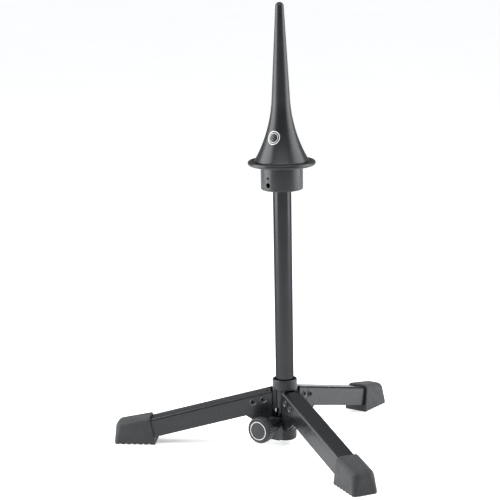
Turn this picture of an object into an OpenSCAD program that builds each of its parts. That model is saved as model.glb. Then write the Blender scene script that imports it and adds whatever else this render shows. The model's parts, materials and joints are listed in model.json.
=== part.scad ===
// Trumpet stand: a tapered peg on a slim column, carried by three folding channel legs.
// Millimetres, +Z up. The origin is on the column axis at floor level.
// A leg frame has its own +X along the leg from the fold pivot; the side view uses (radius, height).

/* [Column] */
// Outside diameter of the column tube
tube_d = 16; // [15.6:0.1:16.2]
// Wall thickness of the column tube
tube_wall = 1.2; // [0.8:0.1:1.6]
// Height of the flange's seat above the floor
seat_z = 252.6; // [230:0.2:280]

/* [Peg] */
// Height of the peg above the flange's seat
peg_h = 136; // [120:1:150]
// Radius of the peg's foot
peg_foot_r = 23.8; // [22:0.1:25]
// Radius where the straight taper meets the flare
peg_neck_r = 7.9; // [7.5:0.1:8.5]
// Half angle of the straight taper, degrees
peg_taper = 3.1; // [2.5:0.1:3.5]
// Radius of the flange
flange_r = 29.3; // [27:0.1:32]
// Radius of the cup below the flange
cup_r = 18.3; // [17:0.1:20]
// Height of the cup below the flange
cup_h = 21.8; // [19:0.1:26]

/* [Legs] */
// Slope of an open leg below the horizontal, degrees
leg_slope = 14.5; // [13.5:0.1:15]
// Outside width of the leg channel
leg_w = 17; // [16.6:0.1:17.4]
// Depth of the leg channel
leg_depth = 16.9; // [16:0.1:17.5]
// Sheet thickness of the leg channel
leg_wall = 1.3; // [1:0.1:1.3]
// Reach of a foot from the column axis
foot_reach = 152.1; // [146:0.2:158]

/* [Knob] */
// Radius of the clamp knob
knob_r = 11.6; // [10:0.1:12]
// Number of grip flutes around the knob
knob_flutes = 28; // [16:1:36]

/* [Hidden] */

$fn = 64;
through = 60;
azimuth_left = 180;
azimuth_front = 300;
azimuth_right = 60;
azimuth_knob = 240;
azimuth_hub_pin = 120;
azimuth_set_screw = 234;

tube_r = tube_d / 2;
tube_bore_r = tube_r - tube_wall;

// Fold pivot and link pivot of an open leg, as (radius, height)
pivot = [18.3, 42.1];
link_arm = 9.4;
link_top = pivot + link_arm * [cos(leg_slope), -sin(leg_slope)];
link_foot = [16.5, 21.5];
link_length = norm(link_top - link_foot);
link_along = (link_top - link_foot) / link_length;
link_across = [link_along[1], -link_along[0]];
link_knee = link_foot + 12.5 * link_along + 7.5 * link_across;
link_t = 3;
link_half_w = 2.5;
link_pin_r = 1.4;

// Rivets
rivet_r = 2;
rivet_bore_r = 1.45;
rivet_head_r = 3.05;
rivet_head_h = 0.7;
running = 0.06;

// Leg channel in the leg frame
top_v = 6.6;
bottom_v = top_v - leg_depth;
leg_inner_r = 11;
leg_end_r = foot_reach - 5;
web_start = -6.7;
slot_start = -4;
slot_in = 4.2;
notch_half_w = 7.05;
corner_r = 2.2;
bend_r = 0.9;
sole_under_leg = 3.4;
lobe_bottom_z = 17.3;
lobe_set_in = 0.02;

// Hub
ring_r = 10.9;
ring_z = [50.5, 60];
sleeve_r = 9.7;
sleeve_z = 34.9;
ear_off = [4.4, 6.9];
ear_elbow = [15.2, 34.6];
ear_face = 10.3;
ear_root = 8;
strip_r = 8.55;

// Foot plug and collar
plug_flange_z = [5, 7];
plug_flange_r = 9.75;
collar_r = 10;
collar_z = [7.1, 25];
screw_z = 22.2;
screw_r = 3;
pad_r = 2.95;
pad_t = 1.5;
boss_half_w = 4.7;
boss_face = 18;
lug_off = [1.8, 4.1];
lug_eye = link_foot + [0.63, 1.79];
lug_eye_r = 5.4;
lug_slot_r = 3.5;

// Knob
knob_back = 34;
knob_face = 41.2;
neck_back = 18.4;
neck_r = 5.5;
cap_r = 8.95;

// Cup
tube_top_z = 243;
web_z = [247.2, 250];
rim_rise = 2.1;
set_screw_z = 234.2;
cup_pin_z = 240.2;

// Leg azimuth by number
leg_azimuths = [azimuth_left, azimuth_front, azimuth_right];

// Plate in the side view between two lateral offsets
module slab(from, to) {
    translate([0, to, 0]) rotate([90, 0, 0]) linear_extrude(to - from) children();
}

// The same plate on both sides of the middle plane
module slab_pair(from, to) {
    slab(from, to) children();
    slab(-to, -from) children();
}

// Cross pin at a side-view point, centred on the middle plane
module cross_pin(at, r, width) {
    translate([at[0], width / 2, at[1]]) rotate([90, 0, 0]) cylinder(r = r, h = width);
}

// Flat arm between two rounded ends of different radius
module tapered_arm(from, from_r, to, to_r) {
    along = to - from;
    lean = acos((from_r - to_r) / norm(along));
    translate(from) circle(r = from_r);
    translate(to) circle(r = to_r);
    translate(from) rotate(atan2(along[1], along[0])) polygon([
        from_r * [cos(lean), sin(lean)], [norm(along), 0] + to_r * [cos(lean), sin(lean)],
        [norm(along), 0] + to_r * [cos(lean), -sin(lean)], from_r * [cos(lean), -sin(lean)]]);
}

// Enter the leg frame: +X down the leg from the fold pivot, +Z square to it
module leg_frame() {
    translate([pivot[0], 0, pivot[1]]) rotate([0, leg_slope, 0]) children();
}

// Radial axis at a height: local +Z points outward along an azimuth
module radial(azimuth, z) {
    rotate([0, 0, azimuth]) translate([0, 0, z]) rotate([0, 90, 0]) children();
}

// ---- Column ----

module column_tube() {
    color("#26282a")
    difference() {
        translate([0, 0, plug_flange_z[1]]) cylinder(r = tube_r, h = tube_top_z - plug_flange_z[1]);
        translate([0, 0, plug_flange_z[1] - 1]) cylinder(r = tube_bore_r, h = tube_top_z);
        radial(azimuth_hub_pin, hub_pin_z) cylinder(r = hub_pin_r, h = through);
    }
}

hub_pin_r = 1.5;
hub_pin_z = 56;

module ear_outline() {
    tapered_arm(pivot, 4, ear_elbow, 2.3);
    polygon([[7, 52.6], [7, 34.6], [8.5, 33.2], [10.3, 32.5], [15.2, 32.4], [15.2, 35], [13.2, 34.3],
             [11.5, 34.9], [10.6, 36], [ear_face, 37.4], [ear_face, 50], [ear_face - 0.9, 50.9],
             [ear_root, 50.9], [ear_root, 52.6]]);
}

// Lower part of the hub: round, with a flat facing each leg that the folding web passes
module sleeve() {
    difference() {
        translate([0, 0, sleeve_z]) cylinder(r = sleeve_r, h = ring_z[0] + 1 - sleeve_z);
        translate([0, 0, sleeve_z - 1]) cylinder(r = tube_r, h = through);
        for (azimuth = leg_azimuths)
            rotate([0, 0, azimuth]) translate([strip_r, -sleeve_r, sleeve_z - 1])
                cube([sleeve_r, 2 * sleeve_r, ring_z[0] - sleeve_z + 1]);
    }
}

module hub() {
    ring_edge = 1.1;
    color("#2b2d2f")
    difference() {
        union() {
            rotate_extrude($fn = 96) polygon([
                [tube_r, ring_z[0]], [ring_r - ring_edge / 2, ring_z[0]], [ring_r, ring_z[0] + ring_edge / 2],
                [ring_r, ring_z[1] - ring_edge],
                for (a = [15:15:90])
                    [ring_r - ring_edge + ring_edge * cos(a), ring_z[1] - ring_edge + ring_edge * sin(a)],
                [tube_r + 1.25, ring_z[1]], [tube_r, ring_z[1] - 2]]);
            sleeve();
            difference() {
                for (azimuth = leg_azimuths)
                    rotate([0, 0, azimuth]) slab_pair(ear_off[0], ear_off[1]) ear_outline();
                translate([0, 0, sleeve_z]) cylinder(r = tube_r, h = through);
                cylinder(r = tube_r + 0.3, h = sleeve_z + 0.01);
            }
        }
        for (azimuth = leg_azimuths)
            rotate([0, 0, azimuth]) cross_pin(pivot, rivet_r + running, through / 2);
        radial(azimuth_hub_pin, hub_pin_z) cylinder(r = hub_pin_r, h = through);
    }
}

module hub_pin() {
    color("#3a3c3e") difference() {
        radial(azimuth_hub_pin, hub_pin_z) translate([0, 0, tube_bore_r - 0.4]) cylinder(r = hub_pin_r, h = 4.5);
        radial(azimuth_hub_pin, hub_pin_z) translate([0, 0, tube_bore_r - 2]) cylinder(r = 0.8, h = 8);
    }
}

module foot_plug() {
    color("#151617") rotate_extrude($fn = 96) polygon([
        [0, plug_flange_z[0]], [plug_flange_r - 0.8, plug_flange_z[0]], [plug_flange_r, plug_flange_z[0] + 0.8],
        [plug_flange_r, plug_flange_z[1]], [tube_bore_r, plug_flange_z[1]], [tube_bore_r, 16.4],
        [tube_bore_r - 0.6, 17], [tube_bore_r - 2, 17], [tube_bore_r - 2, 9], [0, 9]]);
}

// ---- Cup and peg ----

module cup() {
    edge = 1.2;
    bead_r = rim_rise;
    bead_z = seat_z - 0.9;
    under_z = seat_z - 3.1;
    bottom_z = seat_z - 2 - cup_h;
    color("#232527")
    difference() {
        rotate_extrude($fn = 128) polygon([
            [0, bottom_z], [cup_r - edge, bottom_z],
            for (a = [15:15:90]) [cup_r - edge + edge * sin(a), bottom_z + edge - edge * cos(a)],
            [cup_r, under_z - 1.1], [cup_r - 0.35, under_z - 0.9], [cup_r - 0.35, under_z - 0.5],
            [cup_r + 0.5, under_z], [flange_r - bead_r - 1.5, under_z + 0.1],
            for (a = [-75:15:165]) [flange_r - bead_r + bead_r * cos(a), bead_z + bead_r * sin(a)],
            [flange_r - 2 * bead_r - 0.2, seat_z], [0, seat_z]]);
        translate([0, 0, bottom_z - 1]) cylinder(r = tube_r, h = tube_top_z + 0.4 - bottom_z + 1);
        translate([0, 0, tube_top_z]) cylinder(r = 4.6, h = web_z[0] - tube_top_z);
        translate([0, 0, tube_top_z]) cylinder(r = 2.3, h = 20);
        translate([0, 0, web_z[1]]) cylinder(r = peg_spigot_r + 0.05, h = 10);
        radial(azimuth_set_screw, set_screw_z) cylinder(r = set_screw_r, h = through);
        radial(azimuth_set_screw, cup_pin_z) cylinder(r = cup_pin_r, h = through);
    }
}

peg_spigot_r = 7;
set_screw_r = 2.2;
cup_pin_r = 1.1;

module cup_set_screw() {
    color("#1b1c1d") radial(azimuth_set_screw, set_screw_z) difference() {
        translate([0, 0, tube_r]) cylinder(r = set_screw_r, h = 6.5);
        translate([0, 0, tube_r + 4.2]) cylinder(r = 1.15, h = 4, $fn = 6);
    }
}

module cup_pin() {
    color("#1b1c1d") radial(azimuth_set_screw, cup_pin_z) translate([0, 0, tube_r]) cylinder(r = cup_pin_r, h = 7.6);
}

// Outline of the peg: a flare that is one arc, then a straight taper, then a round tip
neck_z = seat_z + 54.4;
flare_r = 118;
tip_z = seat_z + peg_h;
foot_z = seat_z + 0.7;
tip_r = peg_neck_r - (tip_z - neck_z) * tan(peg_taper) * 0.96;
flare_end = asin(sin(peg_taper) + (neck_z - foot_z) / flare_r);
flare_out = peg_foot_r - peg_neck_r;
flare_scale = flare_out / (flare_r * (cos(peg_taper) - cos(flare_end)));

function flare(a, inset) = [
    peg_neck_r - inset + flare_scale * flare_r * (cos(peg_taper) - cos(a)),
    neck_z - flare_r * (sin(a) - sin(peg_taper))];

module peg_cone() {
    wall = 2.2;
    steps = 14;
    core_r = 2.1;
    step = (flare_end - peg_taper) / steps;
    color("#27292b")
    difference() {
        rotate_extrude($fn = 128) polygon([
            [peg_spigot_r, web_z[1]], [peg_spigot_r, foot_z + 34],
            for (i = [steps * 0.45:steps - 1]) flare(peg_taper + i * step, wall + 0.9),
            [peg_foot_r - wall - 0.3, foot_z], [peg_foot_r - 0.4, foot_z],
            for (i = [steps:-1:0]) flare(peg_taper + i * step, 0) + [0, i == steps ? 0.4 : 0],
            for (a = [0:15:90]) [tip_r * cos(a), tip_z - tip_r + tip_r * sin(a)],
            [0, web_z[1]]]);
        translate([0, 0, web_z[1] - 1]) cylinder(r = core_r, h = 50);
    }
}

module peg_screw() {
    head_r = 4.1;
    color("#8d8f91") union() {
        translate([0, 0, web_z[0] - 2.7]) cylinder(r = head_r, h = 2.7);
        translate([0, 0, web_z[0] - 0.1]) cylinder(r = 2.1, h = 16);
    }
}

// ---- Collar, clamp and knob ----

module collar() {
    color("#2b2d2f")
    difference() {
        union() {
            translate([0, 0, collar_z[0]]) cylinder(r = collar_r, h = collar_z[1] - collar_z[0]);
            rotate([0, 0, azimuth_knob]) boss();
            for (azimuth = leg_azimuths)
                rotate([0, 0, azimuth]) slab_pair(lug_off[0], lug_off[1]) {
                    translate(lug_eye) circle(r = lug_eye_r);
                    translate([tube_r, lug_eye[1] - 4.8]) square([lug_eye[0] - tube_r, 4.4]);
                    polygon([[8.12, collar_z[1] - 2], [8.12, 27.4], [8.65, 27.9], [8.65, 33.4], [9, 33.4],
                             [9.4, 32.8], [10.5, 29.9], [11, 28.6], [12.4, 27], [12.4, collar_z[1] - 2]]);
                }
        }
        translate([0, 0, -1]) cylinder(r = tube_r + 0.08, h = through);
        for (azimuth = leg_azimuths)
            rotate([0, 0, azimuth]) cross_pin(lug_eye, lug_slot_r, 3 * lug_off[1]);
        radial(azimuth_knob, screw_z) cylinder(r = screw_r + running, h = through);
    }
}

module boss() {
    base_step = 0.4;
    step_at = 12.8;
    step_z = 25.3;
    top_z = 27.5;
    slab(-boss_half_w, boss_half_w) {
        translate([tube_r - 3, collar_z[0] + base_step]) square([boss_face - tube_r + 2, step_z - collar_z[0] - base_step]);
        translate([step_at, collar_z[0] + 1]) square([boss_face - step_at, top_z - 2 - collar_z[0]]);
        translate([step_at + 1, step_z - 2]) square([boss_face - step_at - 2, top_z - step_z + 2]);
    }
}

module pressure_pad() {
    color("#b08d3c")
    difference() {
        radial(azimuth_knob, screw_z) translate([0, 0, tube_r - 1]) cylinder(r = pad_r, h = 1 + pad_t);
        cylinder(r = tube_r + 0.01, h = through);
    }
}

module clamp_screw() {
    start = tube_r + pad_t + 0.1;
    color("#8d8f91") radial(azimuth_knob, screw_z) translate([0, 0, start]) cylinder(r = screw_r, h = knob_back - start);
}

module knob() {
    edge = 1.6;
    flute_r = 0.75;
    color("#2a2c2e") radial(azimuth_knob, screw_z)
    difference() {
        rotate_extrude($fn = 96) polygon([
            [0, neck_back], [neck_r - 0.5, neck_back], [neck_r, neck_back + 0.5], [neck_r, knob_back - 2.6],
            [neck_r + 1.4, knob_back - 0.9], [knob_r - 1, knob_back], [knob_r, knob_back + 0.8],
            for (a = [0:15:90])
                [knob_r - edge + edge * cos(a), knob_face - edge + edge * sin(a)],
            [cap_r + 0.05, knob_face], [cap_r + 0.05, knob_face - 0.9], [0, knob_face - 0.9]]);
        translate([0, 0, neck_back - 1]) cylinder(r = screw_r, h = knob_back - neck_back + 1);
        for (i = [0:knob_flutes - 1])
            rotate([0, 0, i * 360 / knob_flutes]) translate([knob_r + 0.3, 0, knob_back - 1])
                cylinder(r = flute_r, h = knob_face - knob_back + 2, $fn = 16);
    }
}

module knob_cap() {
    base = knob_face - 0.9;
    color("#3c3e40") radial(azimuth_knob, screw_z) rotate_extrude($fn = 96) polygon([
        [0, base], [cap_r, base], [cap_r, knob_face + 0.1], [cap_r - 0.5, knob_face + 0.4],
        [cap_r - 1.3, knob_face + 0.4], [cap_r - 1.6, knob_face + 0.1], [3.2, knob_face + 0.25],
        [2.9, knob_face + 0.5], [0, knob_face + 0.5]]);
}

// ---- Legs ----

module channel_section() {
    half = leg_w / 2;
    inner = half - leg_wall;
    difference() {
        union() {
            translate([-half, bottom_v]) square([leg_w, leg_depth - corner_r]);
            translate([-half + corner_r, bottom_v]) square([leg_w - 2 * corner_r, leg_depth]);
            for (side = [-1, 1]) translate([side * (half - corner_r), top_v - corner_r]) circle(r = corner_r);
        }
        translate([-inner, bottom_v - 1]) square([2 * inner, leg_depth - leg_wall + 1 - bend_r]);
        translate([-inner + bend_r, bottom_v - 1]) square([2 * (inner - bend_r), leg_depth - leg_wall + 1]);
        for (side = [-1, 1]) translate([side * (inner - bend_r), top_v - leg_wall - bend_r]) circle(r = bend_r);
    }
}

// Straight channel, trimmed level above the sole at its outer end
module channel_bar() {
    far = (leg_end_r - pivot[0]) / cos(leg_slope);
    intersection() {
        leg_frame() translate([-14, 0, 0]) rotate([90, 0, 90]) linear_extrude(far + 14) channel_section();
        translate([leg_inner_r, -leg_w, sole_under_leg]) cube([foot_reach, 2 * leg_w, 80]);
    }
}

// Deep inner end of the channel's two side walls
module lobe_outline() {
    polygon([[leg_inner_r, 40], [leg_inner_r, lobe_bottom_z + 2.4], [leg_inner_r + 0.7, lobe_bottom_z + 0.7],
             [leg_inner_r + 2.4, lobe_bottom_z], [17.4, lobe_bottom_z], [19, lobe_bottom_z + 0.5],
             [34.6, lobe_bottom_z + 10.6], [34.6, 32], [20, 38]]);
}

module leg() {
    crease = 0.25;
    color("#2e3032")
    difference() {
        union() {
            channel_bar();
            slab_pair(leg_w / 2 - leg_wall + lobe_set_in, leg_w / 2) lobe_outline();
        }
        leg_frame() translate([0, 0, top_v - 2.6]) linear_extrude(4) web_end();
        slab(-leg_w, leg_w) inner_corner();
        for (side = [-1, 1])
            leg_frame() translate([4.3, side * leg_w / 2 - crease, -5.6]) cube([0.7, 2 * crease, 10.8]);
        cross_pin(pivot, rivet_r, through);
        cross_pin(link_top, rivet_r, through);
    }
}

// What is cut from the channel's web at its inner end: a tongue stays between two slots for the hub's ears
module web_end() {
    polygon([[-14, -notch_half_w], [slot_start, -notch_half_w], [slot_start, -slot_in], [web_start, -slot_in],
             [web_start, slot_in], [slot_start, slot_in], [slot_start, notch_half_w], [-14, notch_half_w]]);
}

// What is cut away to round the top inner corner of the channel
module inner_corner() {
    corner = [leg_inner_r, pivot[1] + (pivot[0] - leg_inner_r) * tan(leg_slope) + top_v / cos(leg_slope)];
    r = 1.8;
    difference() {
        translate([corner[0] - 1, corner[1] - r - 0.4]) square([1 + r, r + 2]);
        translate([corner[0] + r - 0.03, corner[1] - r - 0.4]) circle(r = r);
    }
}

module boot() {
    half = 11.45;
    rim_r = foot_reach - 36.7;
    color("#303234")
    difference() {
        hull() {
            for (side = [-1, 1]) {
                translate([rim_r + 0.6, side * (half - 0.6), 0]) cylinder(r = 0.6, h = 1, $fn = 32);
                translate([foot_reach - 3.2, side * (half - 3.2), 0]) cylinder(r = 3.2, h = 2.4, $fn = 32);
                translate([rim_r + 3.9, side * 6.6, 21]) rotate([0, 101, 0]) cylinder(r = 4, h = 1, $fn = 32);
                translate([foot_reach - 7.2, side * 4.1, 14]) sphere(r = 6.6, $fn = 32);
            }
        }
        channel_bar();
        leg_frame() translate([80, leg_wall - leg_w / 2, bottom_v])
            cube([28.5, leg_w - 2 * leg_wall, leg_depth - leg_wall]);
        for (i = [0:5])
            translate([rim_r + 4.2 + i * 5.2, -half - 1, -1]) cube([2.4, 2 * half + 2, 1.8]);
    }
}

module tubular_rivet(at) {
    half = leg_w / 2;
    translate([at[0], 0, at[1]]) rotate([90, 0, 0]) rotate_extrude($fn = 64) polygon([
        [rivet_bore_r, -half - rivet_head_h], [rivet_head_r - 0.5, -half - rivet_head_h],
        [rivet_head_r, -half - rivet_head_h + 0.4], [rivet_head_r, -half], [rivet_r, -half],
        [rivet_r, half], [rivet_head_r, half], [rivet_head_r, half + rivet_head_h - 0.4],
        [rivet_head_r - 0.5, half + rivet_head_h], [rivet_bore_r, half + rivet_head_h]]);
}

module rivets() {
    color("#4a4c4e") {
        tubular_rivet(pivot);
        tubular_rivet(link_top);
    }
}

module link() {
    boss_r = 3.4;
    color("#6b6d70")
    difference() {
        union() {
            slab(-link_t / 2, link_t / 2) {
                limb(link_top, link_knee);
                limb(link_knee, link_foot);
                translate(link_foot) circle(r = 2.9);
            }
            cross_pin(link_top, boss_r, 2 * ear_off[1]);
        }
        cross_pin(link_top, rivet_r + running, through);
        cross_pin(link_foot, link_pin_r, through);
    }
}

module limb(from, to) {
    along = to - from;
    translate(from) rotate(atan2(along[1], along[0])) {
        translate([0, -link_half_w]) square([norm(along), 2 * link_half_w]);
        circle(r = link_half_w);
        translate([norm(along), 0]) circle(r = link_half_w);
    }
}

module link_pin() {
    color("#9a9c9e") cross_pin(link_foot, link_pin_r, 2 * lug_off[1] + 0.1);
}

column_tube();
hub();
hub_pin();
foot_plug();
cup();
cup_set_screw();
cup_pin();
peg_cone();
peg_screw();
collar();
pressure_pad();
clamp_screw();
knob();
knob_cap();
rotate([0, 0, azimuth_left]) leg();  // leg_left
rotate([0, 0, azimuth_front]) leg();  // leg_front
rotate([0, 0, azimuth_right]) leg();  // leg_right
rotate([0, 0, azimuth_left]) boot();  // boot_left
rotate([0, 0, azimuth_front]) boot();  // boot_front
rotate([0, 0, azimuth_right]) boot();  // boot_right
rotate([0, 0, azimuth_left]) rivets();  // rivets_left
rotate([0, 0, azimuth_front]) rivets();  // rivets_front
rotate([0, 0, azimuth_right]) rivets();  // rivets_right
rotate([0, 0, azimuth_left]) link();  // link_left
rotate([0, 0, azimuth_front]) link();  // link_front
rotate([0, 0, azimuth_right]) link();  // link_right
rotate([0, 0, azimuth_left]) link_pin();  // link_pin_left
rotate([0, 0, azimuth_front]) link_pin();  // link_pin_front
rotate([0, 0, azimuth_right]) link_pin();  // link_pin_right
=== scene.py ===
import json
import math

import bmesh
import bpy
from mathutils import Matrix, Vector

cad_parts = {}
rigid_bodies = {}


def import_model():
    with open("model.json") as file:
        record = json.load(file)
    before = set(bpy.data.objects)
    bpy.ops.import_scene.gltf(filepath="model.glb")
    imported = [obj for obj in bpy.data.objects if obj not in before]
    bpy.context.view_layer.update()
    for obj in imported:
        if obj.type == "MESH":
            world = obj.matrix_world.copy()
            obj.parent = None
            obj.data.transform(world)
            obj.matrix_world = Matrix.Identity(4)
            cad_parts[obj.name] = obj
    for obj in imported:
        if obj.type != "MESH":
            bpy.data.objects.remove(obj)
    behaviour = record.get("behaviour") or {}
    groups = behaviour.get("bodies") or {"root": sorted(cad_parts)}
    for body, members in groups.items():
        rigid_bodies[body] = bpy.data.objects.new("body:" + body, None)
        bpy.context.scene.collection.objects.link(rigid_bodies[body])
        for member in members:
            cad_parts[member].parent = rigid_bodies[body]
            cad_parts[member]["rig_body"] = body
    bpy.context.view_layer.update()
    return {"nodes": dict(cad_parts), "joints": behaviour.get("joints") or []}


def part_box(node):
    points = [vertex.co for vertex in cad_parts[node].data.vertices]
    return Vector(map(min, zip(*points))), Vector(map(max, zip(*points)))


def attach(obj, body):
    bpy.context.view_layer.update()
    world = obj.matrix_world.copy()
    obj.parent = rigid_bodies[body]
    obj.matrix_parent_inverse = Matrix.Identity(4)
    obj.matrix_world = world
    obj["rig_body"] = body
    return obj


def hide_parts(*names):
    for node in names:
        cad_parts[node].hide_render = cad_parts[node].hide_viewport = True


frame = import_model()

MM = 0.001
SIDES = ("left", "front", "right")
LEG_AZIMUTH = {"left": 180.0, "front": 300.0, "right": 60.0}
JOINTS = {j["name"]: j for j in frame["joints"]}


# ---------------------------------------------------------------- camera

CAMERA_REACH = 1.4859      # horizontal distance from the column axis
CAMERA_HEIGHT = 0.4919
CAMERA_BEARING = 4.9       # how far round to the right of -Y the camera stands, degrees
CAMERA_HEADING = 6.0       # how far left of +Y it looks, degrees
CAMERA_PITCH = 12.02       # below the horizon
CAMERA_ROLL = -1.04
CAMERA_LENS = 126.15       # millimetres, on a sensor of the width below
SENSOR = 36.0
CLIP = (0.05, 60.0)        # nearest and farthest distance drawn


def make_camera():
    """The camera at the viewing angle of the main picture."""
    cam = bpy.data.objects.new("camera", bpy.data.cameras.new("camera"))
    bpy.context.scene.collection.objects.link(cam)
    b = math.radians(CAMERA_BEARING)
    cam.location = (CAMERA_REACH * math.sin(b), -CAMERA_REACH * math.cos(b), CAMERA_HEIGHT)
    turn = Matrix.Rotation(math.radians(CAMERA_HEADING), 4, "Z")
    tilt = Matrix.Rotation(math.radians(90.0 - CAMERA_PITCH), 4, "X")
    roll = Matrix.Rotation(math.radians(CAMERA_ROLL), 4, "Z")
    cam.rotation_euler = (turn @ tilt @ roll).to_euler()
    cam.data.sensor_width = SENSOR
    cam.data.lens = CAMERA_LENS
    cam.data.clip_start, cam.data.clip_end = CLIP
    bpy.context.scene.camera = cam


# ---------------------------------------------------------------- materials


class Nodes:
    """A short way to write one material's node tree."""

    def __init__(self, name):
        self.material = bpy.data.materials.new(name)
        self.material.use_nodes = True
        self.tree = self.material.node_tree
        self.shader = self.tree.nodes["Principled BSDF"]
        self.place = self.add("ShaderNodeTexCoord").outputs["Object"]

    def add(self, kind, **settings):
        node = self.tree.nodes.new(kind)
        for key, value in settings.items():
            setattr(node, key, value)
        return node

    def link(self, a, b):
        self.tree.links.new(a, b)

    def set(self, **values):
        for key, value in values.items():
            self.shader.inputs[key.replace("_", " ")].default_value = value

    def noise(self, scale, detail=3.0, roughness=0.55, stretch=None):
        """Noise in the object's own coordinates, with scale features to the metre."""
        tex = self.add("ShaderNodeTexNoise")
        tex.inputs["Scale"].default_value = scale
        tex.inputs["Detail"].default_value = detail
        tex.inputs["Roughness"].default_value = roughness
        source = self.place
        if stretch:
            mapping = self.add("ShaderNodeMapping")
            mapping.inputs["Scale"].default_value = stretch
            self.link(source, mapping.inputs["Vector"])
            source = mapping.outputs["Vector"]
        self.link(source, tex.inputs["Vector"])
        return tex.outputs["Fac"]

    def ramp(self, source, low, high, a, b):
        """Colour or grey from a to b as source goes from low to high."""
        ramp = self.add("ShaderNodeValToRGB")
        for stop, position, value in zip(ramp.color_ramp.elements, (low, high), (a, b)):
            stop.position = position
            stop.color = (value, value, value, 1.0) if isinstance(value, float) else (*value, 1.0)
        self.link(source, ramp.inputs["Fac"])
        return ramp.outputs["Color"]

    def mix(self, factor, a, b):
        """Colour between a and b, each a socket or a plain colour."""
        node = self.add("ShaderNodeMix", data_type="RGBA")
        self.link(factor, node.inputs["Factor"])
        for socket, value in ((node.inputs[6], a), (node.inputs[7], b)):
            if isinstance(value, tuple):
                socket.default_value = (*value, 1.0)
            else:
                self.link(value, socket)
        return node.outputs[2]

    def edge(self, low, high):
        """White on outer edges, from the mesh's pointiness."""
        point = self.add("ShaderNodeNewGeometry").outputs["Pointiness"]
        return self.ramp(point, low, high, 0.0, 1.0)

    def bump(self, source, strength, distance, under=None):
        """Normal from a height of distance metres, laid over another bump if there is one."""
        node = self.add("ShaderNodeBump")
        node.inputs["Strength"].default_value = strength
        node.inputs["Distance"].default_value = distance
        self.link(source, node.inputs["Height"])
        if under is not None:
            self.link(under, node.inputs["Normal"])
        return node.outputs["Normal"]

    def colour(self, socket):
        self.link(socket, self.shader.inputs["Base Color"])

    def rough(self, socket):
        self.link(socket, self.shader.inputs["Roughness"])

    def normal(self, socket):
        self.link(socket, self.shader.inputs["Normal"])


def powder_coat(name, dark, light, rough_low, rough_high, peel):
    """Black powder coat: orange peel, a little roughness variation, paler rubbed edges."""
    n = Nodes(name)
    n.set(IOR=1.42)
    cloud = n.noise(60.0, 4.0)
    base = n.ramp(cloud, 0.2, 0.85, dark, light)
    rub = n.noise(420.0, 5.0, 0.7)
    rubbed = n.add("ShaderNodeMath", operation="MULTIPLY")
    n.link(n.edge(0.55, 0.66), rubbed.inputs[0])
    n.link(n.ramp(rub, 0.4, 0.75, 0.1, 0.4), rubbed.inputs[1])
    n.colour(n.mix(rubbed.outputs[0], base, (0.016, 0.0166, 0.018)))
    n.rough(n.ramp(n.noise(140.0, 4.0, 0.5), 0.2, 0.8, rough_low, rough_high))
    coarse = n.bump(n.noise(1100.0, 2.0), 0.07, peel)
    n.normal(n.bump(n.noise(3600.0, 2.0), 0.08, peel * 0.3, coarse))
    return n.material


def gloss_lacquer(name, dark, light, rough_low, rough_high, flow):
    """Smooth black lacquer over steel with soft flow marks, shaded as a metal whose grey edge tint makes the
    rim reflect less: painted shade that keeps the rim dark.
    """
    n = Nodes(name)
    # The edge tint is painted shade: it dims the reflection along the rim.
    n.set(Metallic=1.0, Specular_Tint=(0.48, 0.48, 0.49, 1.0))
    n.colour(n.ramp(n.noise(60.0, 4.0), 0.25, 0.8, dark, light))
    n.rough(n.ramp(n.noise(95.0, 6.0, 0.65), 0.3, 0.7, rough_low, rough_high))
    coarse = n.bump(n.noise(650.0, 2.0), 0.12, flow)
    n.normal(n.bump(n.noise(2600.0, 3.0), 0.1, flow * 0.3, coarse))
    return n.material


def moulded_plastic(name, dark, light, rough_low, rough_high, grain):
    """Black moulded plastic with a fine spark-eroded grain and faint handling marks."""
    n = Nodes(name)
    n.set(IOR=1.43)
    base = n.ramp(n.noise(45.0, 4.0), 0.3, 0.75, dark, light)
    worn = n.edge(0.54, 0.62)
    n.colour(n.mix(worn, base, tuple(1.35 * c for c in light)))
    marks = n.noise(70.0, 7.0, 0.72, stretch=(1.0, 1.0, 0.25))
    n.rough(n.ramp(marks, 0.32, 0.68, rough_low, rough_high))
    coarse = n.bump(n.noise(1500.0, 4.0, 0.6), 0.3, grain)
    n.normal(n.bump(n.noise(5200.0, 2.0), 0.25, grain * 0.4, coarse))
    return n.material


def rubber(name):
    """Dark grey rubber, dull and slightly dusty in random patches."""
    n = Nodes(name)
    n.set(IOR=1.44, Sheen_Weight=0.08, Sheen_Roughness=0.55)
    base = n.ramp(n.noise(80.0, 5.0, 0.6), 0.3, 0.72, (0.0115, 0.0122, 0.0133), (0.0185, 0.0194, 0.0207))
    dust = n.add("ShaderNodeMath", operation="MULTIPLY")
    n.link(n.ramp(n.noise(300.0, 6.0, 0.7), 0.5, 0.75, 0.0, 0.5), dust.inputs[0])
    n.link(n.ramp(n.noise(25.0, 2.0), 0.45, 0.7, 0.0, 1.0), dust.inputs[1])
    n.colour(n.mix(dust.outputs[0], base, (0.05, 0.049, 0.047)))
    n.rough(n.ramp(n.noise(130.0, 6.0, 0.65), 0.3, 0.7, 0.56, 0.78))
    coarse = n.bump(n.noise(900.0, 3.0), 0.28, 0.00006)
    n.normal(n.bump(n.noise(4200.0, 2.0), 0.3, 0.00003, coarse))
    return n.material


def metal(name, dark, light, rough_low, rough_high, brushed):
    """Plated or turned metal with fine tool lines and tarnish."""
    n = Nodes(name)
    n.set(Metallic=1.0)
    tarnish = n.noise(180.0, 6.0, 0.7)
    n.colour(n.ramp(tarnish, 0.3, 0.7, dark, light))
    lines = n.noise(900.0, 4.0, 0.6, stretch=brushed)
    n.rough(n.ramp(lines, 0.3, 0.7, rough_low, rough_high))
    n.normal(n.bump(lines, 0.22, 0.00004))
    return n.material


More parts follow.
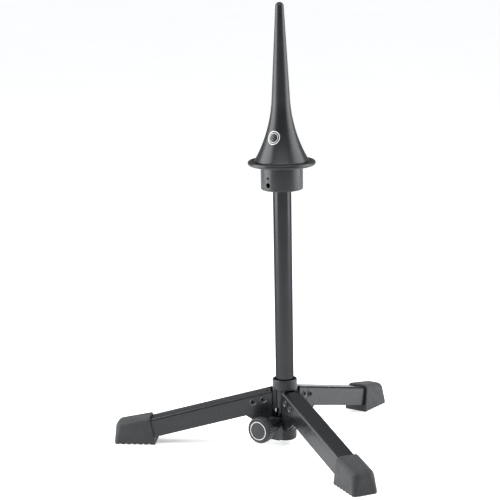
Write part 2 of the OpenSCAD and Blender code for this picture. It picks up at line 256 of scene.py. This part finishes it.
def ink(name):
    """Pale printed ink, a little uneven."""
    n = Nodes(name)
    n.colour(n.ramp(n.noise(700.0, 4.0), 0.3, 0.7, (0.50, 0.50, 0.50), (0.68, 0.68, 0.67)))
    n.rough(n.ramp(n.noise(900.0, 3.0), 0.3, 0.7, 0.42, 0.6))
    n.normal(n.bump(n.noise(2500.0, 2.0), 0.2, 0.00002))
    return n.material


def pale_floor(name):
    """White studio floor, faintly uneven, lifted a little so that it stays white far off."""
    n = Nodes(name)
    n.colour(n.ramp(n.noise(3.0, 3.0), 0.3, 0.7, (0.90, 0.90, 0.90), (0.93, 0.93, 0.93)))
    n.rough(n.ramp(n.noise(12.0, 4.0), 0.3, 0.7, 0.6, 0.7))
    n.set(Specular_IOR_Level=0.2, Emission_Color=(1.0, 1.0, 1.0, 1.0), Emission_Strength=0.44)
    return n.material


# How a metal's fine tool lines are stretched: not at all, or along the piece
EVEN = (1.0, 1.0, 1.0)
DRAWN = (1.0, 1.0, 6.0)
TURNED = (1.0, 1.0, 5.0)

MATERIALS = {
    "tube": gloss_lacquer("black_gloss_coat_and_rim_shade", (0.030, 0.031, 0.0325), (0.035, 0.0362, 0.038),
                          0.13, 0.18, 0.00002),
    "leg": powder_coat("black_leg_coat", (0.0066, 0.0072, 0.0084), (0.0080, 0.0087, 0.0100),
                       0.26, 0.28, 0.000015),
    "hub": powder_coat("black_hub_coat", (0.0066, 0.0072, 0.0084), (0.0084, 0.0091, 0.0104),
                       0.30, 0.38, 0.00003),
    "peg": moulded_plastic("black_peg_plastic", (0.0085, 0.0090, 0.0100), (0.0120, 0.0126, 0.0138),
                           0.29, 0.37, 0.00002),
    "cup": moulded_plastic("black_cup_plastic", (0.0080, 0.0085, 0.0095), (0.0108, 0.0114, 0.0125),
                           0.28, 0.38, 0.00002),
    "collar": moulded_plastic("black_collar_plastic", (0.0075, 0.0080, 0.0090), (0.0105, 0.0110, 0.0121),
                              0.36, 0.48, 0.00003),
    "knob": moulded_plastic("black_knob_plastic", (0.0090, 0.0095, 0.0105), (0.0130, 0.0136, 0.0148),
                            0.38, 0.5, 0.00003),
    "cap": moulded_plastic("black_cap_plastic", (0.0090, 0.0095, 0.0105), (0.0130, 0.0136, 0.0148),
                           0.28, 0.38, 0.00002),
    "boot": rubber("dark_rubber"),
    # The rivet steel is dark partly as the rivets' own finish and partly as painted shade for the unlit
    # inside of their bores.
    "rivet": metal("rivet_steel_and_bore_shade", (0.045, 0.046, 0.049), (0.16, 0.16, 0.165), 0.25, 0.42, EVEN),
    "link": metal("zinc_plate", (0.42, 0.42, 0.43), (0.62, 0.62, 0.63), 0.28, 0.45, DRAWN),
    "screw": metal("screw_steel", (0.40, 0.40, 0.41), (0.60, 0.60, 0.61), 0.25, 0.4, EVEN),
    "black_screw": metal("black_oxide", (0.006, 0.006, 0.0065), (0.016, 0.016, 0.017), 0.4, 0.6, EVEN),
    "pad": metal("turned_brass", (0.55, 0.40, 0.16), (0.72, 0.55, 0.26), 0.2, 0.36, TURNED),
}
INK = ink("pale_ink")


# ---------------------------------------------------------------- mesh helpers


def finish_piece(mesh, name, body, slot, nodes, place=None, smooth_angle=32.0, material=None):
    """Makes an object of mesh, moves it to place, shades it, and ties it to the frame."""
    if place is not None:
        mesh.transform(place)
    obj = bpy.data.objects.new(name, mesh)
    bpy.context.scene.collection.objects.link(obj)
    bm = bmesh.new()
    bm.from_mesh(mesh)
    bmesh.ops.recalc_face_normals(bm, faces=bm.faces)
    for face in bm.faces:
        face.smooth = True
    limit = math.radians(smooth_angle)
    for e in bm.edges:
        e.smooth = len(e.link_faces) != 2 or e.calc_face_angle(0.0) < limit
    bm.to_mesh(mesh)
    bm.free()
    mesh.materials.clear()
    mesh.materials.append(material or MATERIALS[slot])
    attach(obj, body)
    if nodes:
        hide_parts(*nodes)
    return obj


def lathe_mesh(name, outline, segments=96, shape=None):
    """Turns an outline of (radius, height) points about Z. A radius of 0 closes on the axis.
    shape(radius, height, angle) may move each radius."""
    bm = bmesh.new()
    rings = []
    for r, z in outline:
        if r < 1e-9:
            rings.append([bm.verts.new((0.0, 0.0, z))])
            continue
        ring = []
        for i in range(segments):
            a = 2.0 * math.pi * i / segments
            q = shape(r, z, a) if shape else r
            ring.append(bm.verts.new((q * math.cos(a), q * math.sin(a), z)))
        rings.append(ring)
    closed = outline[0][0] > 1e-9 and outline[-1][0] > 1e-9
    pairs = list(zip(rings, rings[1:])) + ([(rings[-1], rings[0])] if closed else [])
    for low, high in pairs:
        for i in range(segments):
            j = (i + 1) % segments
            a, b = low[i % len(low)], low[j % len(low)]
            c, d = high[j % len(high)], high[i % len(high)]
            corners = [v for k, v in enumerate((a, b, c, d)) if v not in (a, b, c, d)[:k]]
            if len(corners) > 2:
                bm.faces.new(corners)
    mesh = bpy.data.meshes.new(name)
    bm.to_mesh(mesh)
    bm.free()
    return mesh


def arc(cx, cz, r, start, end, steps):
    """Points of a circular arc in the (radius, height) plane, angles in degrees."""
    turn = [math.radians(start + (end - start) * i / steps) for i in range(steps + 1)]
    return [(cx + r * math.cos(a), cz + r * math.sin(a)) for a in turn]


def eased(points, radius, steps=3):
    """The outline with each corner rounded by radius, apart from its two ends and points on the axis."""
    out = []
    n = len(points)
    for i, p in enumerate(points):
        if i in (0, n - 1) or p[0] < 1e-9:
            out.append(p)
            continue
        here, before, after = Vector(p), Vector(points[i - 1]), Vector(points[i + 1])
        u, v = before - here, after - here
        if u.length < 1e-9 or v.length < 1e-9 or abs(u.normalized().dot(v.normalized())) > 0.97:
            out.append(p)
            continue
        cut = min(radius, 0.45 * u.length, 0.45 * v.length)
        a, b = here + u.normalized() * cut, here + v.normalized() * cut
        for k in range(steps + 1):
            t = k / steps
            q = a * (1 - t) ** 2 + here * 2 * t * (1 - t) + b * t * t
            out.append((q.x, q.y))
    return out


def radial_place(azimuth, z):
    """Local +Z points outward from the column axis along azimuth, at height z."""
    return (Matrix.Translation((0.0, 0.0, z)) @ Matrix.Rotation(math.radians(azimuth), 4, "Z")
            @ Matrix.Rotation(math.radians(90.0), 4, "Y"))


def copied(node, merge=0.000002):
    """A welded copy of a CAD node's mesh, with flat regions joined into single faces."""
    mesh = frame["nodes"][node].data.copy()
    mesh.name = node + "_mesh"
    bm = bmesh.new()
    bm.from_mesh(mesh)
    bmesh.ops.remove_doubles(bm, verts=bm.verts, dist=merge)
    bmesh.ops.dissolve_limit(bm, angle_limit=math.radians(0.6), verts=bm.verts, edges=bm.edges)
    bm.to_mesh(mesh)
    bm.free()
    for name in [a.name for a in mesh.attributes if a.name == "custom_normal"]:
        mesh.attributes.remove(mesh.attributes[name])
    return mesh


def eased_copy(node, slot, width, segments=2, angle=32.0):
    """The CAD node with its edges broken by a small bevel, as pressed or moulded edges are."""
    body = frame["nodes"][node]["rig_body"]
    obj = finish_piece(copied(node), node + "_eased", body, slot, [node], smooth_angle=180.0)
    bevel = obj.modifiers.new("edge_break", "BEVEL")
    bevel.width = width
    bevel.segments = segments
    bevel.limit_method = "ANGLE"
    bevel.angle_limit = math.radians(angle)
    bevel.use_clamp_overlap = True
    bevel.harden_normals = True


def apply_modifiers(obj):
    """Keeps the mesh as its modifiers leave it, and removes them."""
    graph = bpy.context.evaluated_depsgraph_get()
    done = bpy.data.meshes.new_from_object(obj.evaluated_get(graph))
    obj.modifiers.clear()
    obj.data = done


# ---------------------------------------------------------------- column, cup and peg


TUBE_WALL = 1.2 * MM
TUBE_EDGE = 0.35 * MM
TUBE_ROWS = 24


def make_tube():
    """The round tube with its two outer end edges broken."""
    lo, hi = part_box("column_tube")
    outer, wall, edge = hi.x, TUBE_WALL, TUBE_EDGE
    outline = eased([(outer - wall, lo.z), (outer, lo.z), (outer, hi.z), (outer - wall, hi.z)], edge)
    heights = [lo.z + (hi.z - lo.z) * i / TUBE_ROWS for i in range(1, TUBE_ROWS)]
    outer_side = [(outer, z) for z in heights]
    split = next(i for i, p in enumerate(outline) if p[0] > outer - 1e-7 and p[1] > heights[-1])
    outline = outline[:split] + outer_side + outline[split:]
    finish_piece(lathe_mesh("tube", outline, 96), "tube_round", "column", "tube", ["column_tube"])


PEG_NECK_RISE = 0.0537      # from the peg's foot edge to the start of the straight taper
PEG_NECK_R = 0.0079
PEG_TAPER = math.radians(3.1)
PEG_FLARE_R = 0.118
PEG_FOOT_R = 0.0238
PEG_SPIGOT_R = 0.0070
PEG_FOOT_LIFT = 0.0033      # the foot edge stands this far above the spigot's underside
PEG_WALL = 0.0031
PEG_HOLLOW = 0.030          # depth of the hollow foot
PEG_LIP = 0.0004
PEG_TIP_SHRINK = 0.96       # share of the straight taper's narrowing that the tip has
PEG_FLARE_STEPS = 40
PEG_TAPER_STEPS = 24


def peg_outline():
    """The node's lowest corner, then the flare, the taper and the tip as (radius, height) points."""
    lo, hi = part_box("peg_cone")
    foot_z = lo.z + PEG_FOOT_LIFT
    neck_z = foot_z + PEG_NECK_RISE
    end = math.asin(math.sin(PEG_TAPER) + PEG_NECK_RISE / PEG_FLARE_R)
    spread = (PEG_FOOT_R - PEG_NECK_R) / (PEG_FLARE_R * (math.cos(PEG_TAPER) - math.cos(end)))
    side = []
    for i in range(PEG_FLARE_STEPS, -1, -1):
        a = PEG_TAPER + (end - PEG_TAPER) * i / PEG_FLARE_STEPS
        side.append((PEG_NECK_R + spread * PEG_FLARE_R * (math.cos(PEG_TAPER) - math.cos(a)),
                     neck_z - PEG_FLARE_R * (math.sin(a) - math.sin(PEG_TAPER))))
    tip_r = PEG_NECK_R - (hi.z - neck_z) * math.tan(PEG_TAPER) * PEG_TIP_SHRINK
    shoulder = hi.z - tip_r
    rows = PEG_TAPER_STEPS
    taper = [(PEG_NECK_R + (tip_r - PEG_NECK_R) * i / rows, neck_z + (shoulder - neck_z) * i / rows)
             for i in range(1, rows)]
    return lo, side, taper, arc(0.0, shoulder, tip_r, 0.0, 90.0, 10)


def make_peg():
    """The peg with its hollow foot, the spigot inside it and a soft lip at the foot."""
    lo, side, taper, dome = peg_outline()
    lip = PEG_LIP
    foot = side[0]
    inner = [(max(r - PEG_WALL, PEG_SPIGOT_R), z) for r, z in side if z < foot[1] + PEG_HOLLOW]
    hollow = [(PEG_SPIGOT_R, lo.z), (PEG_SPIGOT_R, inner[-1][1])] + inner[::-1]
    rim = [(foot[0] - 3 * lip, foot[1]), (foot[0] - lip, foot[1]),
           (foot[0] - 0.1 * lip, foot[1] + 0.35 * lip), (foot[0], foot[1] + lip)]
    outline = [(0.0, lo.z)] + hollow + rim + side[1:] + taper + dome
    outline[-1] = (0.0, outline[-1][1])
    finish_piece(lathe_mesh("peg", outline, 128), "peg_body", "column", "peg", ["peg_cone"],
                 smooth_angle=40.0)


def peg_radius(z):
    """The peg's outside radius at a height."""
    _, side, taper, _ = peg_outline()
    line = side + taper
    for (r0, z0), (r1, z1) in zip(line, line[1:]):
        if z0 <= z <= z1:
            return r0 + (r1 - r0) * (z - z0) / (z1 - z0)
    return line[0][0]


MARK_AZIMUTH = 246.5
MARK_Z = 0.2750
MARK_RINGS = ((0.0057, 0.0050), (0.0040, 0.0036))      # outer and inner radius of each
MARK_LIFT = 0.00006         # the ink stands this far off the surface
MARK_STEPS = 64


def make_peg_mark():
    """Two plain printed rings low on the peg's flare, lying on the curved surface."""
    bm = bmesh.new()
    azimuth = math.radians(MARK_AZIMUTH)
    for outer, inner in MARK_RINGS:
        verts = []
        for i in range(MARK_STEPS):
            a = 2.0 * math.pi * i / MARK_STEPS
            pair = []
            for r in (outer, inner):
                z = MARK_Z + r * math.sin(a)
                surface = peg_radius(z) + MARK_LIFT
                angle = azimuth + r * math.cos(a) / surface
                pair.append(bm.verts.new((surface * math.cos(angle), surface * math.sin(angle), z)))
            verts.append(pair)
        for i in range(MARK_STEPS):
            a, b = verts[i], verts[(i + 1) % MARK_STEPS]
            bm.faces.new((a[0], b[0], b[1], a[1]))
    mesh = bpy.data.meshes.new("peg_ring")
    bm.to_mesh(mesh)
    bm.free()
    finish_piece(mesh, "peg_printed_ring", "column", "cap", [], material=INK)


# ---------------------------------------------------------------- rivets, knob, screws


LEG_HALF_WIDTH = 8.5 * MM
RIVET_BORE_R = 1.6 * MM
RIVET_SHANK_R = 2.0 * MM
RIVET_HEAD_R = 3.05 * MM
RIVET_RISE = 0.7 * MM       # height of the rolled head above the leg's side
RIVET_ROLL_R = 0.36 * MM


def rivet_profile(half_width):
    """One end of a tubular rivet with its rolled head: (radius, distance from the middle)."""
    bore, shank, head, rise = RIVET_BORE_R, RIVET_SHANK_R, RIVET_HEAD_R, RIVET_RISE
    funnel = [(bore, half_width - 2.5 * MM), (bore, half_width - 0.7 * MM),
              (bore + 0.2 * MM, half_width - 0.1 * MM), (bore + 0.62 * MM, half_width + 0.3 * MM)]
    roll = arc(head - RIVET_ROLL_R, half_width + rise - RIVET_ROLL_R, RIVET_ROLL_R, 175.0, 0.0, 9)
    under = [(head, half_width + 0.12 * MM), (head - 0.05 * MM, half_width), (shank, half_width)]
    return funnel + roll + under


def make_rivets(side):
    """Both tubular rivets of a leg, one on the fold pivot and one on the link's pivot."""
    azimuth = math.radians(LEG_AZIMUTH[side])
    end = rivet_profile(LEG_HALF_WIDTH)
    outline = end + [(r, -h) for r, h in reversed(end)]
    turn = Matrix.Rotation(azimuth, 4, "Z") @ Matrix.Rotation(math.radians(90.0), 4, "X")
    bm = bmesh.new()
    for joint in ("fold_" + side, "link_turn_" + side):
        mesh = lathe_mesh("rivet", outline, 48)
        mesh.transform(Matrix.Translation(Vector(JOINTS[joint]["pos_m"])) @ turn)
        bm.from_mesh(mesh)
        bpy.data.meshes.remove(mesh)
    mesh = bpy.data.meshes.new("rivets")
    bm.to_mesh(mesh)
    bm.free()
    finish_piece(mesh, "rivets_" + side + "_rolled", side + "_leg", "rivet", ["rivets_" + side])


KNOB_AZIMUTH = 240.0
SCREW_Z = JOINTS["knob_turn"]["pos_m"][2]
KNOB_FLUTES = 28
KNOB_R = 11.6 * MM
KNOB_NECK_R = 5.5 * MM
KNOB_RIM = 7.2 * MM         # thickness of the fluted rim
KNOB_EDGE = 1.6 * MM        # rounding of the rim's front edge
KNOB_FLUTE = 0.5 * MM       # depth of a flute
CAP_SEAT_R = 9.0 * MM
CAP_R = 8.95 * MM
CAP_STEP = 0.22 * MM


def knob_reach(node):
    """How far a node on the knob's axis starts and ends from the column axis."""
    out = Vector((math.cos(math.radians(KNOB_AZIMUTH)), math.sin(math.radians(KNOB_AZIMUTH)), 0.0))
    reach = [v.co.dot(out) for v in frame["nodes"][node].data.vertices]
    return min(reach), max(reach)


def make_knob():
    """Neck, fillet and fluted rim, turned about the screw's axis."""
    back, face = knob_reach("knob")
    r, neck, edge, cap = KNOB_R, KNOB_NECK_R, KNOB_EDGE, CAP_SEAT_R
    rim_back = face - KNOB_RIM
    fillet = 2.6 * MM
    fillet_z = rim_back - 3.4 * MM
    inside = r - 1.9 * MM       # the flutes fade out from here inwards
    outline = [(0.0, back + 0.2 * MM), (3.1 * MM, back + 0.2 * MM), (3.5 * MM, back), (neck - 0.5 * MM, back),
               (neck - 0.12 * MM, back + 0.15 * MM), (neck, back + 0.5 * MM)]
    outline += arc(neck + fillet, fillet_z, fillet, 180.0, 105.0, 6)
    outline += [(r - 1.6 * MM, rim_back - 0.35 * MM), (r - 0.7 * MM, rim_back - 0.1 * MM),
                (r - 0.2 * MM, rim_back + 0.3 * MM), (r, rim_back + 0.9 * MM)]
    outline += [(r, rim_back + (0.9 + 0.75 * i) * MM) for i in range(1, 6)]
    outline += arc(r - edge, face - edge, edge, 0.0, 90.0, 8)
    outline += [(cap + 0.25 * MM, face), (cap + 0.05 * MM, face - 0.2 * MM), (cap, face - 0.85 * MM),
                (0.0, face - 0.85 * MM)]

    def shape(q, z, a):
        if z < rim_back or q < inside:
            return q
        wave = abs(math.sin(0.5 * KNOB_FLUTES * a)) ** 0.75
        fade = min(1.0, max(0.0, (q - inside) / (1.2 * MM)))
        return q - KNOB_FLUTE * (1.0 - wave) * fade

    finish_piece(lathe_mesh("knob", outline, KNOB_FLUTES * 10, shape), "knob_fluted", "clamp_knob", "knob",
                 ["knob"], radial_place(KNOB_AZIMUTH, SCREW_Z), smooth_angle=50.0)


def make_cap():
    """The knob's cap, with a raised border that carries a plain printed ring."""
    base, face = knob_reach("knob_cap")
    r = CAP_R
    border = face - 0.12 * MM
    outline = [(0.0, base), (r, base), (r, face - 0.6 * MM), (r - 0.25 * MM, face - 0.28 * MM),
               (r - 0.8 * MM, border), (r - 1.5 * MM, border), (r - 1.75 * MM, border - CAP_STEP),
               (r - 2.6 * MM, face - 0.10 * MM - CAP_STEP), (0.4 * r, face - 0.08 * MM),
               (0.2 * r, face - 0.01 * MM), (0.0, face)]
    place = radial_place(KNOB_AZIMUTH, SCREW_Z)
    finish_piece(lathe_mesh("cap", eased(outline, 0.15 * MM), 96), "knob_cap_disc", "clamp_knob", "cap",
                 ["knob_cap"], place)
    outer, inner = r - 0.85 * MM, r - 1.4 * MM
    low, high = face - 0.13 * MM, face - 0.07 * MM
    ring = [(outer, low), (outer, high), (inner, high), (inner, low)]
    finish_piece(lathe_mesh("cap_ring", ring, 96), "knob_printed_ring", "clamp_knob", "cap", [], place,
                 material=INK)


SCREW_R = 3.0 * MM
THREAD_PITCH = 1.0 * MM
THREAD_DEPTH = 0.495 * MM
SCREW_CHAMFER = 0.54 * MM


def make_clamp_screw():
    """The screw with its thread and a chamfered inner end."""
    start, end = knob_reach("clamp_screw")
    pitch, r = THREAD_PITCH, SCREW_R
    rows = int((end - start) / (pitch / 8.0))
    outline = [(0.0, start)] + [(r, start + (end - start) * i / rows) for i in range(rows + 1)] + [(0.0, end)]

    def shape(q, z, a):
        phase = ((z - start) / pitch - a / (2.0 * math.pi)) % 1.0
        near_end = min(1.0, (z - start) / (0.8 * MM))
        return q - THREAD_DEPTH * abs(2.0 * phase - 1.0) - (1.0 - near_end) * SCREW_CHAMFER

    finish_piece(lathe_mesh("screw", outline, 48, shape), "clamp_screw_threaded", "clamp_knob", "screw",
                 ["clamp_screw"], radial_place(KNOB_AZIMUTH, SCREW_Z), smooth_angle=75.0)


# ---------------------------------------------------------------- boots


BOOT_VOXEL = 0.42 * MM
BOOT_RELAX = 7


def make_boot(side):
    """The boot's solid remeshed finely and relaxed, so its edges are soft like moulded rubber."""
    node = "boot_" + side
    obj = finish_piece(copied(node), node + "_moulded", side + "_leg", "boot", [node], smooth_angle=180.0)
    remesh = obj.modifiers.new("even_mesh", "REMESH")
    remesh.mode = "VOXEL"
    remesh.voxel_size = BOOT_VOXEL
    relax = obj.modifiers.new("relax", "SMOOTH")
    relax.factor = 0.5
    relax.iterations = BOOT_RELAX
    apply_modifiers(obj)
    for face in obj.data.polygons:
        face.use_smooth = True


# ---------------------------------------------------------------- assembly

# Node, finish and edge break in millimetres of the copied pieces, other than the cup and the legs
COPIES = (("hub", "hub", 0.3), ("foot_plug", "collar", 0.3), ("collar", "collar", 0.4),
          ("cup_set_screw", "black_screw", 0.12), ("cup_pin", "black_screw", 0.15),
          ("hub_pin", "screw", 0.15), ("peg_screw", "screw", 0.3), ("pressure_pad", "pad", 0.15))

make_camera()
make_tube()
make_peg()
make_peg_mark()
eased_copy("cup", "cup", 0.35 * MM, 3)
for node, slot, width in COPIES:
    eased_copy(node, slot, width * MM)
make_knob()
make_cap()
make_clamp_screw()
for side in SIDES:
    eased_copy("leg_" + side, "leg", 0.35 * MM)
    make_boot(side)
    make_rivets(side)
    eased_copy("link_" + side, "link", 0.3 * MM)
    eased_copy("link_pin_" + side, "link", 0.25 * MM)


# ---------------------------------------------------------------- floor and light

FLOOR_R = 14.0
FLOOR_RINGS = 12
FLOOR_DROP = 0.0002         # the floor lies this far below the boots' soles


def make_floor():
    """A wide round floor, with finer rings near the middle."""
    rings = [(FLOOR_R * (i / FLOOR_RINGS) ** 2, 0.0) for i in range(1, FLOOR_RINGS + 1)]
    mesh = lathe_mesh("floor", [(0.0, 0.0)] + rings, 64)
    obj = bpy.data.objects.new("floor", mesh)
    bpy.context.scene.collection.objects.link(obj)
    obj.location.z = -FLOOR_DROP
    mesh.materials.append(pale_floor("pale_floor"))


def area_light(name, place, aim, width, height, power):
    """A rectangular softbox at place, turned towards aim."""
    lamp = bpy.data.lights.new(name, "AREA")
    lamp.shape = "RECTANGLE"
    lamp.size, lamp.size_y = width, height
    lamp.energy = power
    lamp.color = LIGHT_TINT
    obj = bpy.data.objects.new(name, lamp)
    bpy.context.scene.collection.objects.link(obj)
    obj.location = place
    obj.rotation_euler = (Vector(aim) - Vector(place)).to_track_quat("-Z", "Y").to_euler()


# Softboxes: name, place, width and height, watts
SOFTBOXES = (("softbox_left", (-0.80, -0.13, 0.50), (0.80, 1.04), 16.6),
             ("softbox_right", (0.82, 0.10, 0.50), (0.80, 1.04), 12.7),
             ("softbox_front", (0.10, -0.75, 1.25), (1.2, 0.6), 5.6))
LIGHT_AIM = (0.0, 0.0, 0.22)
LIGHT_TINT = (0.965, 0.985, 1.0)
OVERHEAD_ENERGY = 1.5
OVERHEAD_SPREAD = 75.0      # degrees
BACK_LEVEL = 0.25           # world brightness behind the object
FRONT_LEVEL = 0.05          # and in front of it
WORLD_BLEND = (-0.5, 0.6)   # where along Y the one turns into the other


def make_world():
    """A plain grey studio, paler behind the object than in front of it. Its own backdrop is white."""
    world = bpy.data.worlds.new("studio")
    world.use_nodes = True
    tree = world.node_tree
    back = tree.nodes["Background"]
    place = tree.nodes.new("ShaderNodeTexCoord")
    split = tree.nodes.new("ShaderNodeSeparateXYZ")
    tree.links.new(place.outputs["Generated"], split.inputs["Vector"])
    level = tree.nodes.new("ShaderNodeMapRange")
    level.inputs["From Min"].default_value, level.inputs["From Max"].default_value = WORLD_BLEND
    level.inputs["To Min"].default_value = FRONT_LEVEL
    level.inputs["To Max"].default_value = BACK_LEVEL
    tree.links.new(split.outputs["Y"], level.inputs["Value"])
    seen = tree.nodes.new("ShaderNodeMath")
    seen.operation = "MAXIMUM"
    direct = tree.nodes.new("ShaderNodeLightPath")
    tree.links.new(level.outputs["Result"], seen.inputs[0])
    tree.links.new(direct.outputs["Is Camera Ray"], seen.inputs[1])
    tree.links.new(seen.outputs["Value"], back.inputs["Strength"])
    back.inputs["Color"].default_value = (*LIGHT_TINT, 1.0)
    bpy.context.scene.world = world


def make_light():
    """The softboxes and a wide, soft light from overhead."""
    for name, place, size, power in SOFTBOXES:
        area_light(name, place, LIGHT_AIM, *size, power)
    overhead = bpy.data.lights.new("overhead", "SUN")
    overhead.energy = OVERHEAD_ENERGY
    overhead.angle = math.radians(OVERHEAD_SPREAD)
    overhead.color = LIGHT_TINT
    obj = bpy.data.objects.new("overhead", overhead)
    bpy.context.scene.collection.objects.link(obj)
    bpy.context.scene.view_settings.view_transform = "Standard"


make_world()
make_floor()
make_light()
